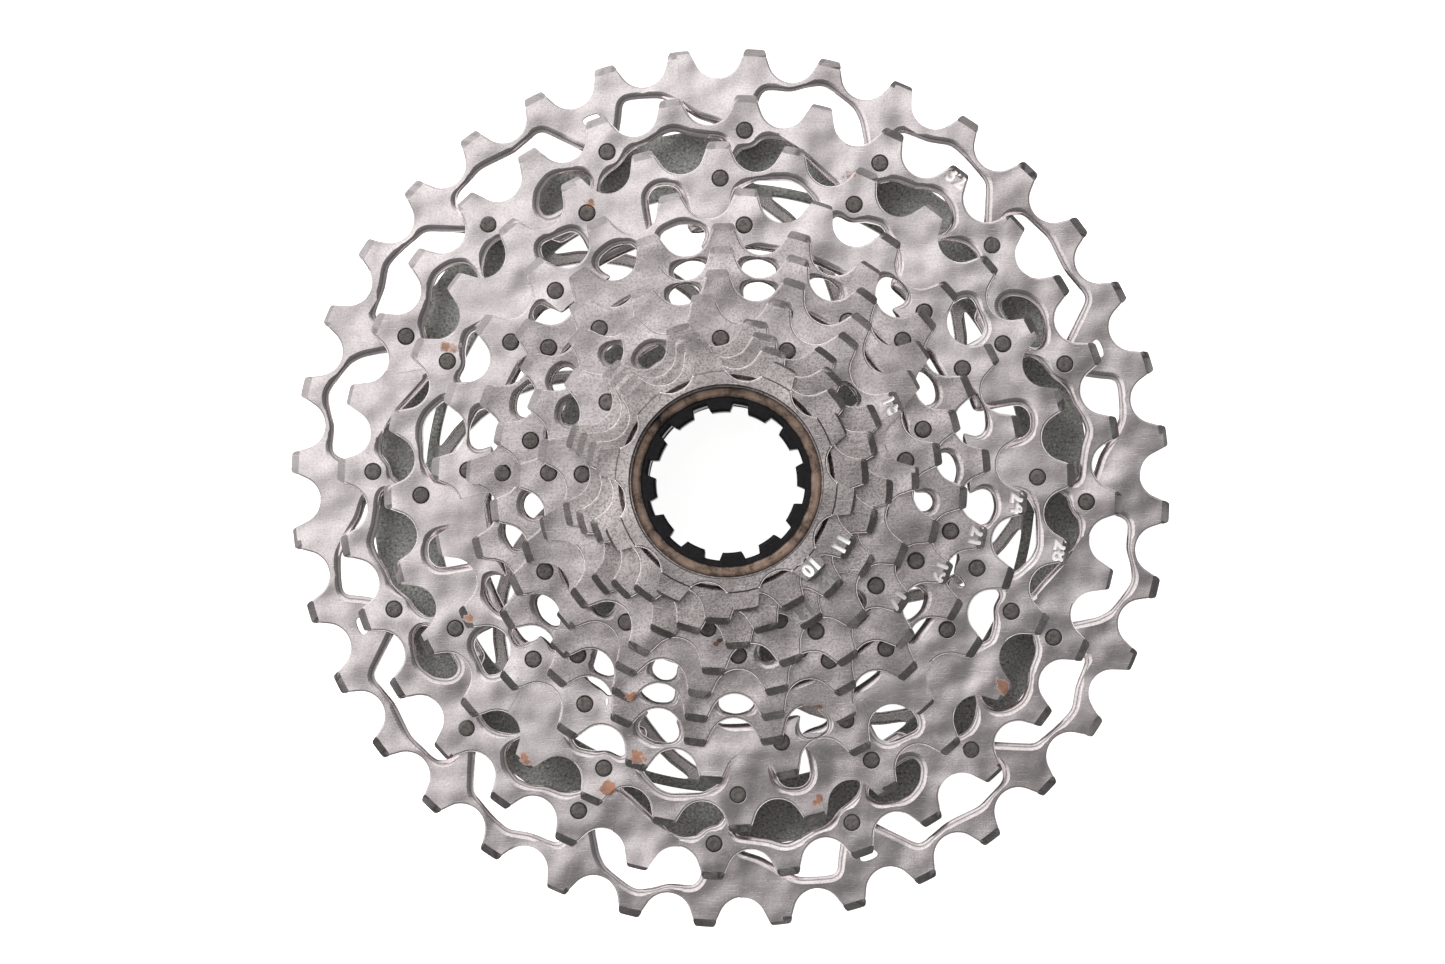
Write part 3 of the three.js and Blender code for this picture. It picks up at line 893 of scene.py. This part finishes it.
def new_group(name, inputs, outputs):
    group = bpy.data.node_groups.new(name, "ShaderNodeTree")
    for label, kind, value in inputs:
        socket = group.interface.new_socket(label, in_out="INPUT", socket_type=kind)
        socket.default_value = value
    for label, kind in outputs:
        group.interface.new_socket(label, in_out="OUTPUT", socket_type=kind)
    return group, group.nodes.new("NodeGroupInput"), group.nodes.new("NodeGroupOutput")


class Shop:
    """Adds nodes to a tree with their values and links in one call."""

    def __init__(self, tree):
        self.tree = tree

    def node(self, kind, **settings):
        made = self.tree.nodes.new(kind)
        links = settings.pop("inputs", {})
        for key, value in settings.items():
            setattr(made, key, value)
        for key, value in links.items():
            self.feed(made.inputs[key], value)
        return made

    def feed(self, socket, value):
        if isinstance(value, bpy.types.NodeSocket):
            self.tree.links.new(value, socket)
        elif isinstance(value, bpy.types.Node):
            self.tree.links.new(value.outputs[0], socket)
        else:
            socket.default_value = value

    def math(self, operation, a, b=0.0, clamp=False):
        return self.node("ShaderNodeMath", operation=operation, use_clamp=clamp, inputs={0: a, 1: b})

    def ramp(self, value, low, high):
        return self.node("ShaderNodeMapRange", inputs={"Value": value, "From Min": low, "From Max": high})

    def span(self, value, low, high, to_low, to_high):
        return self.node("ShaderNodeMapRange", inputs={
            "Value": value, "From Min": low, "From Max": high, "To Min": to_low, "To Max": to_high})

    def mix(self, amount, a, b):
        made = self.node("ShaderNodeMix", data_type="RGBA")
        self.feed(made.inputs[0], amount)
        self.feed(made.inputs[6], a)
        self.feed(made.inputs[7], b)
        return made.outputs[2]


def object_space(shop, scale=(1, 1, 1)):
    place = shop.node("ShaderNodeTexCoord")
    return shop.node("ShaderNodeMapping", inputs={"Vector": place.outputs["Object"], "Scale": scale})


def make_steel_grain():
    """Cloudy tone, broad dents, fine speckle and crossed scratches, for every steel."""
    group, inside, outside = new_group(
        "steel_grain",
        [("Fine Scale", "NodeSocketFloat", 2600.0), ("Broad Scale", "NodeSocketFloat", 90.0),
         ("Wave Scale", "NodeSocketFloat", 130.0), ("Scratch Scale", "NodeSocketFloat", 420.0)],
        [("Cloud", "NodeSocketFloat"), ("Wave", "NodeSocketFloat"), ("Speckle", "NodeSocketFloat"),
         ("Scratches", "NodeSocketFloat"), ("Height", "NodeSocketFloat")])
    shop = Shop(group)
    place = object_space(shop)
    cloud = shop.node("ShaderNodeTexNoise", inputs={
        "Vector": place, "Scale": inside.outputs["Broad Scale"], "Detail": 5.0, "Roughness": 0.6})
    wave = shop.node("ShaderNodeTexNoise", inputs={
        "Vector": place, "Scale": inside.outputs["Wave Scale"], "Detail": 1.0, "Roughness": 0.4})
    speckle = shop.node("ShaderNodeTexNoise", inputs={
        "Vector": place, "Scale": inside.outputs["Fine Scale"], "Detail": 3.0, "Roughness": 0.7})
    turned = shop.node("ShaderNodeMapping", inputs={
        "Vector": place, "Rotation": (0.0, 0.0, 0.7), "Scale": (1.0, 9.0, 1.0)})
    crossed = shop.node("ShaderNodeMapping", inputs={
        "Vector": place, "Rotation": (0.0, 0.0, -0.9), "Scale": (1.0, 11.0, 1.0)})
    lines = [shop.node("ShaderNodeTexNoise", inputs={
        "Vector": v, "Scale": inside.outputs["Scratch Scale"], "Detail": 2.0, "Roughness": 0.5})
        for v in (turned, crossed)]
    sharp = [shop.ramp(line.outputs["Fac"], 0.62, 0.74) for line in lines]
    scratches = shop.math("MAXIMUM", sharp[0], sharp[1], clamp=True)
    height = shop.math("SUBTRACT", speckle.outputs["Fac"], shop.math("MULTIPLY", scratches, 0.5))
    for label, value in (("Cloud", cloud.outputs["Fac"]), ("Wave", wave.outputs["Fac"]),
                         ("Speckle", speckle.outputs["Fac"]), ("Scratches", scratches),
                         ("Height", height)):
        shop.feed(outside.inputs[label], value)
    return group


# Rust that has crept out from the pins: radius, angle and size.
RUST_SPOTS = [(57.0, 126, 0.9), (54.5, 164, 1.3), (54.0, 202, 0.8), (56.5, 217, 0.8), (47.5, 199, 0.7),
              (48.5, 243, 0.7), (52.8, 297, 1.0), (52.8, 334, 1.0), (56.0, 22, 0.8), (25.8, 186, 0.6),
              (40.2, 158, 0.6), (38.4, 204, 0.6)]


def make_stains():
    """Scattered rust, the placed rust spots, and dirt."""
    group, inside, outside = new_group(
        "rust_and_dirt",
        [("Spot Scale", "NodeSocketFloat", 210.0), ("Rarity", "NodeSocketFloat", 0.72)],
        [("Rust", "NodeSocketFloat"), ("Dirt", "NodeSocketFloat"), ("Rust Color", "NodeSocketColor")])
    shop = Shop(group)
    place = object_space(shop)
    spots = shop.node("ShaderNodeTexNoise", inputs={
        "Vector": place, "Scale": inside.outputs["Spot Scale"], "Detail": 4.0, "Roughness": 0.65})
    top = shop.math("ADD", inside.outputs["Rarity"], 0.05)
    rust = shop.node("ShaderNodeMapRange", inputs={
        "Value": spots.outputs["Fac"], "From Min": inside.outputs["Rarity"], "From Max": top})
    flat = object_space(shop, (1, 1, 0))
    ragged = shop.math("MULTIPLY", shop.math("SUBTRACT", spots.outputs["Fac"], 0.5), 0.009)
    for radius, angle, size in RUST_SPOTS:
        x, y = polar(radius * MM, angle)
        away = shop.node("ShaderNodeVectorMath", operation="DISTANCE", inputs={0: flat, 1: (x, y, 0)})
        edge = shop.math("ADD", away.outputs["Value"], ragged)
        rust = shop.math("MAXIMUM", rust, shop.span(edge, size * MM, 0.4 * size * MM, 0.0, 0.85))
    dirt = shop.node("ShaderNodeTexNoise", inputs={
        "Vector": place, "Scale": 340.0, "Detail": 6.0, "Roughness": 0.75})
    dirt_mask = shop.ramp(dirt.outputs["Fac"], 0.52, 0.8)
    tint = shop.mix(shop.ramp(dirt.outputs["Fac"], 0.35, 0.65), (0.09, 0.026, 0.006, 1),
                    (0.42, 0.14, 0.02, 1))
    shop.feed(outside.inputs["Rust"], rust)
    shop.feed(outside.inputs["Dirt"], dirt_mask)
    shop.feed(outside.inputs["Rust Color"], tint)
    return group


STEEL_GRAIN = make_steel_grain()
STAINS = make_stains()


def new_material(name):
    material = bpy.data.materials.new(name)
    material.use_nodes = True
    tree = material.node_tree
    return material, Shop(tree), tree.nodes["Principled BSDF"]


def placed_group(shop, group, **values):
    made = shop.node("ShaderNodeGroup", node_tree=group)
    for label, value in values.items():
        made.inputs[label.replace("_", " ").title()].default_value = value
    return made


def steel(name, light, dark, rough, spread, bump, pits, wave=0.0003, rust_rarity=0.72, metal=1.0):
    """Tumbled, nickel-plated steel: cloudy tone, fine pits, light scratches and a few rust spots.
    The finish's roughness varies by the spread, and the wave is how deep its broad dents are."""
    material, shop, shader = new_material(name)
    grain = placed_group(shop, STEEL_GRAIN)
    stains = placed_group(shop, STAINS, rarity=rust_rarity)
    cloud = shop.ramp(grain.outputs["Cloud"], 0.3, 0.7)
    base = shop.mix(cloud, (*dark, 1), (*light, 1))
    speckled = shop.mix(shop.math("MULTIPLY", shop.ramp(grain.outputs["Speckle"], 0.47, 0.62), pits), base,
                        (*(c * 0.45 for c in dark), 1))
    scratched = shop.mix(shop.math("MULTIPLY", grain.outputs["Scratches"], 0.3), speckled,
                         (*(min(1, c * 1.25) for c in light), 1))
    stained = shop.mix(stains.outputs["Rust"], scratched, stains.outputs["Rust Color"])
    shop.feed(shader.inputs["Base Color"], stained)
    uneven = shop.math("MULTIPLY", shop.math("SUBTRACT", grain.outputs["Speckle"], 0.5), spread)
    roughness = shop.math("ADD", shop.math("ADD", uneven, rough),
                          shop.math("MULTIPLY", stains.outputs["Dirt"], 0.12))
    roughness = shop.math("ADD", roughness, shop.math("MULTIPLY", stains.outputs["Rust"], 0.5), clamp=True)
    shop.feed(shader.inputs["Roughness"], roughness)
    shop.feed(shader.inputs["Metallic"],
              shop.math("MULTIPLY", metal, shop.math("SUBTRACT", 1.0, stains.outputs["Rust"])))
    sweep = shop.node("ShaderNodeBump", inputs={
        "Strength": 1.0, "Distance": wave, "Height": grain.outputs["Wave"]})
    relief = shop.node("ShaderNodeBump", inputs={
        "Strength": bump, "Distance": 0.00008, "Height": grain.outputs["Height"], "Normal": sweep})
    shop.feed(shader.inputs["Normal"], relief)
    return material


def blasted_alloy():
    """Grey blasted alloy, with the spokes between the ring and the hub foot left bright."""
    material, shop, shader = new_material("blasted_alloy")
    place = object_space(shop)
    grit = shop.node("ShaderNodeTexNoise", inputs={
        "Vector": place, "Scale": 2300.0, "Detail": 3.0, "Roughness": 0.8})
    cloud = shop.node("ShaderNodeTexNoise", inputs={"Vector": place, "Scale": 60.0, "Detail": 4.0})
    flat = object_space(shop, (1, 1, 0))
    radius = shop.node("ShaderNodeVectorMath", operation="LENGTH", inputs={0: flat}).outputs["Value"]
    ring_edge, foot_edge, blend = 0.0495, 0.0311, 0.0003
    spoke = shop.math("MULTIPLY", shop.ramp(radius, ring_edge + blend, ring_edge - blend),
                      shop.ramp(radius, foot_edge - blend, foot_edge + blend))
    tone = shop.mix(shop.ramp(cloud.outputs["Fac"], 0.3, 0.7), (0.2, 0.203, 0.19, 1),
                    (0.26, 0.264, 0.247, 1))
    pitted = shop.mix(shop.ramp(grit.outputs["Fac"], 0.5, 0.38), tone, (0.08, 0.08, 0.075, 1))
    flecked = shop.mix(shop.ramp(grit.outputs["Fac"], 0.56, 0.7), pitted, (0.48, 0.49, 0.465, 1))
    bare = shop.mix(shop.ramp(cloud.outputs["Fac"], 0.35, 0.65), (0.3, 0.285, 0.275, 1),
                    (0.5, 0.48, 0.47, 1))
    shop.feed(shader.inputs["Base Color"], shop.mix(spoke, flecked, bare))
    shop.feed(shader.inputs["Roughness"],
              shop.math("SUBTRACT", shop.ramp(grit.outputs["Fac"], -0.8, 1.6),
                        shop.math("MULTIPLY", spoke, 0.3)))
    shop.feed(shader.inputs["Metallic"], shop.span(spoke, 0.0, 1.0, 0.15, 0.95))
    relief = shop.node("ShaderNodeBump", inputs={
        "Strength": 0.5, "Distance": 0.0001, "Height": grit.outputs["Fac"]})
    shop.feed(shader.inputs["Normal"], relief)
    return material


def black_anodised(rim_height):
    """Black sleeve, rubbed to bronze along the flange's raised rim."""
    material, shop, shader = new_material("black_anodised")
    place = shop.node("ShaderNodeTexCoord")
    parts = shop.node("ShaderNodeSeparateXYZ", inputs={"Vector": place.outputs["Object"]})
    radius = shop.math("SQRT", shop.math(
        "ADD", shop.math("MULTIPLY", parts.outputs["X"], parts.outputs["X"]),
        shop.math("MULTIPLY", parts.outputs["Y"], parts.outputs["Y"])))
    patches = shop.node("ShaderNodeTexNoise", inputs={
        "Vector": place.outputs["Object"], "Scale": 330.0, "Detail": 5.0, "Roughness": 0.7})
    fine = shop.node("ShaderNodeTexNoise", inputs={
        "Vector": place.outputs["Object"], "Scale": 2400.0, "Detail": 3.0})
    wobble = shop.math("MULTIPLY", shop.math("SUBTRACT", patches.outputs["Fac"], 0.5), 0.0006)
    rim_radius, blend = 0.01395, 0.0001
    out = shop.ramp(shop.math("ADD", radius, wobble), rim_radius - blend, rim_radius + blend)
    up = shop.ramp(parts.outputs["Z"], rim_height - 0.0008, rim_height - 0.0003)
    rim = shop.math("MULTIPLY", out, up)
    worn = shop.math("MULTIPLY", rim, shop.ramp(patches.outputs["Fac"], 0.3, 0.5))
    brown = shop.mix(shop.ramp(patches.outputs["Fac"], 0.4, 0.65), (0.15, 0.105, 0.08, 1),
                     (0.33, 0.24, 0.19, 1))
    black = shop.mix(shop.ramp(fine.outputs["Fac"], 0.4, 0.7), (0.003, 0.003, 0.004, 1),
                     (0.01, 0.009, 0.01, 1))
    shop.feed(shader.inputs["Base Color"], shop.mix(worn, black, brown))
    shader.inputs["Specular IOR Level"].default_value = 0.25
    shop.feed(shader.inputs["Metallic"], shop.math("MULTIPLY", worn, 0.6))
    shop.feed(shader.inputs["Roughness"],
              shop.math("ADD", shop.math("MULTIPLY", fine.outputs["Fac"], 0.2), 0.22))
    relief = shop.node("ShaderNodeBump", inputs={
        "Strength": 0.35, "Distance": 0.00006, "Height": fine.outputs["Fac"]})
    shop.feed(shader.inputs["Normal"], relief)
    return material


COG_STEEL = steel(
    "cog_steel", light=(0.9, 0.84, 0.85), dark=(0.66, 0.605, 0.615),
    rough=0.16, spread=0.1, bump=0.05, pits=0.18)
SMALL_COG_STEEL = steel(
    "small_cog_steel", light=(0.84, 0.775, 0.785), dark=(0.5, 0.455, 0.46),
    rough=0.2, spread=0.12, bump=0.06, pits=0.4)
CLUSTER_STEEL = steel(
    "cluster_steel", light=(0.82, 0.76, 0.75), dark=(0.42, 0.385, 0.38),
    rough=0.2, spread=0.14, bump=0.08, pits=0.6, wave=0.0002, rust_rarity=0.74)
PIN_STEEL = steel(
    "pin_steel", light=(0.34, 0.315, 0.3), dark=(0.22, 0.205, 0.195),
    rough=0.4, spread=0.3, bump=0.5, pits=0.6, wave=0.0001, rust_rarity=0.8)
STAMPED_METAL = steel(
    "stamped_metal", light=(0.95, 0.92, 0.92), dark=(0.85, 0.81, 0.81),
    rough=0.55, spread=0.1, bump=0.1, pits=0.1, rust_rarity=0.9, metal=0.35)
SPRING_STEEL = steel(
    "spring_steel", light=(0.3, 0.28, 0.27), dark=(0.2, 0.19, 0.18),
    rough=0.35, spread=0.2, bump=0.4, pits=0.3, rust_rarity=0.85)
BLASTED = blasted_alloy()
BLACK = black_anodised(float(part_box("lock_sleeve")[1][2]))


def build():
    for place, cog in enumerate(COGS):
        piece = stamped_cog(place, **cog)
        metal = COG_STEEL if cog["teeth"] > 21 else SMALL_COG_STEEL
        finish_piece(piece, metal, STACK, "cog_steel", f"cog_{cog['teeth']}")
    for place, cog in enumerate(COGS[1:], 1):
        teeth = cog["teeth"]
        for number, pin in enumerate(pin_row(teeth, place), 1):
            nodes = [f"pin_{teeth}_{number:02d}"] if teeth >= 24 else []
            finish_piece(pin, PIN_STEEL, STACK, "pin_steel", *nodes, angle=40)
    finish_piece(cluster_piece(), CLUSTER_STEEL, STACK, "cluster_steel", "small_cog_cluster")
    finish_piece(carrier_piece(), BLASTED, STACK, "blasted_alloy", "rear_carrier")
    finish_piece(sleeve_piece(), BLACK, SLEEVE, "black_alloy", "lock_sleeve", angle=40)
    finish_piece(snap_ring_piece(), SPRING_STEEL, SLEEVE, "spring_steel", "sleeve_snap_ring", angle=40)


# Camera, light and floor.

def camera():
    data = bpy.data.cameras.new("camera")
    data.sensor_width = 36.0
    data.lens = 180.8
    data.clip_end = 10
    distance = 1220
    place = Vector((18.2, -27.2, distance + BACK_36)) * MM
    aim = Vector((-1.24, 0.9, BACK_36 + PLATE / 2)) * MM
    forward = (aim - place).normalized()
    right = forward.cross(Vector((0, 1, 0))).normalized()
    up = right.cross(forward)
    holder = bpy.data.objects.new("camera", data)
    holder.matrix_world = Matrix.Translation(place) @ Matrix(
        (right, up, -forward)).transposed().to_4x4()
    bpy.context.collection.objects.link(holder)
    bpy.context.scene.camera = holder


def softbox(name, place, aim, size, brightness):
    """A panel of light that isn't seen in reflections, so the flat plates keep their tone."""
    data = bpy.data.lights.new(name, "AREA")
    data.shape = "RECTANGLE"
    data.size, data.size_y = size
    data.energy = brightness * math.pi * size[0] * size[1]
    holder = bpy.data.objects.new(name, data)
    place, aim = Vector(place), Vector(aim)
    holder.location = place
    holder.rotation_euler = (aim - place).to_track_quat("-Z", "Y").to_euler()
    holder.visible_glossy = False
    bpy.context.collection.objects.link(holder)


def white_floor():
    half, gap = 1.2, 0.0004
    floor = new_piece("floor", [(-half, -half, 0), (half, -half, 0), (half, half, 0), (-half, half, 0)],
                      [(0, 1, 2, 3)], scale=1.0)
    floor.location.z = -gap
    material, _, shader = new_material("floor_white")
    shader.inputs["Base Color"].default_value = (0.9, 0.9, 0.9, 1)
    shader.inputs["Roughness"].default_value = 0.9
    shader.inputs["Emission Color"].default_value = (1, 1, 1, 1)
    shader.inputs["Emission Strength"].default_value = 0.9
    floor.data.materials.append(material)


def light_tent():
    """Light by direction alone: a lit patch of ceiling, tent walls, a low panel and the surround.
    All are brighter towards the upper left."""
    world = bpy.data.worlds.new("world")
    world.use_nodes = True
    shop = Shop(world.node_tree)
    way = shop.node("ShaderNodeTexCoord").outputs["Generated"]
    towards = shop.node("ShaderNodeVectorMath", operation="DOT_PRODUCT", inputs={
        0: way, 1: Vector((-0.66, 0.75, 0.0))}).outputs["Value"]
    height = shop.node("ShaderNodeSeparateXYZ", inputs={"Vector": way}).outputs["Z"]
    ceiling = shop.math("MULTIPLY", shop.span(towards, -0.03, 0.1, 0.1, 1.2),
                        shop.span(height, 0.92, 0.96, 0.0, 1.0))
    tent = shop.math("MULTIPLY", shop.span(height, 0.92, 0.84, 0.0, 1.0),
                     shop.span(height, 0.52, 0.68, 0.0, 1.0))
    tent = shop.math("MULTIPLY", tent, shop.span(towards, -0.4, 0.5, 0.2, 0.85))
    low_panel = shop.span(towards, 0.35, 0.8, 0.06, 0.5)
    surround = shop.span(height, 0.34, 0.22, 0.0, 0.65)
    level = shop.math("ADD", shop.math("ADD", ceiling, tent), shop.math("ADD", low_panel, surround))
    background = world.node_tree.nodes["Background"]
    shop.feed(background.inputs["Strength"], level)
    background.inputs["Color"].default_value = (1, 0.985, 0.98, 1)
    bpy.context.scene.world = world
    bpy.context.scene.view_settings.view_transform = "Standard"


camera()
white_floor()
softbox("upper_left", (-0.62, 0.68, 0.95), (0, 0, 0.02), (0.8, 0.8), 12.0)
light_tent()
build()
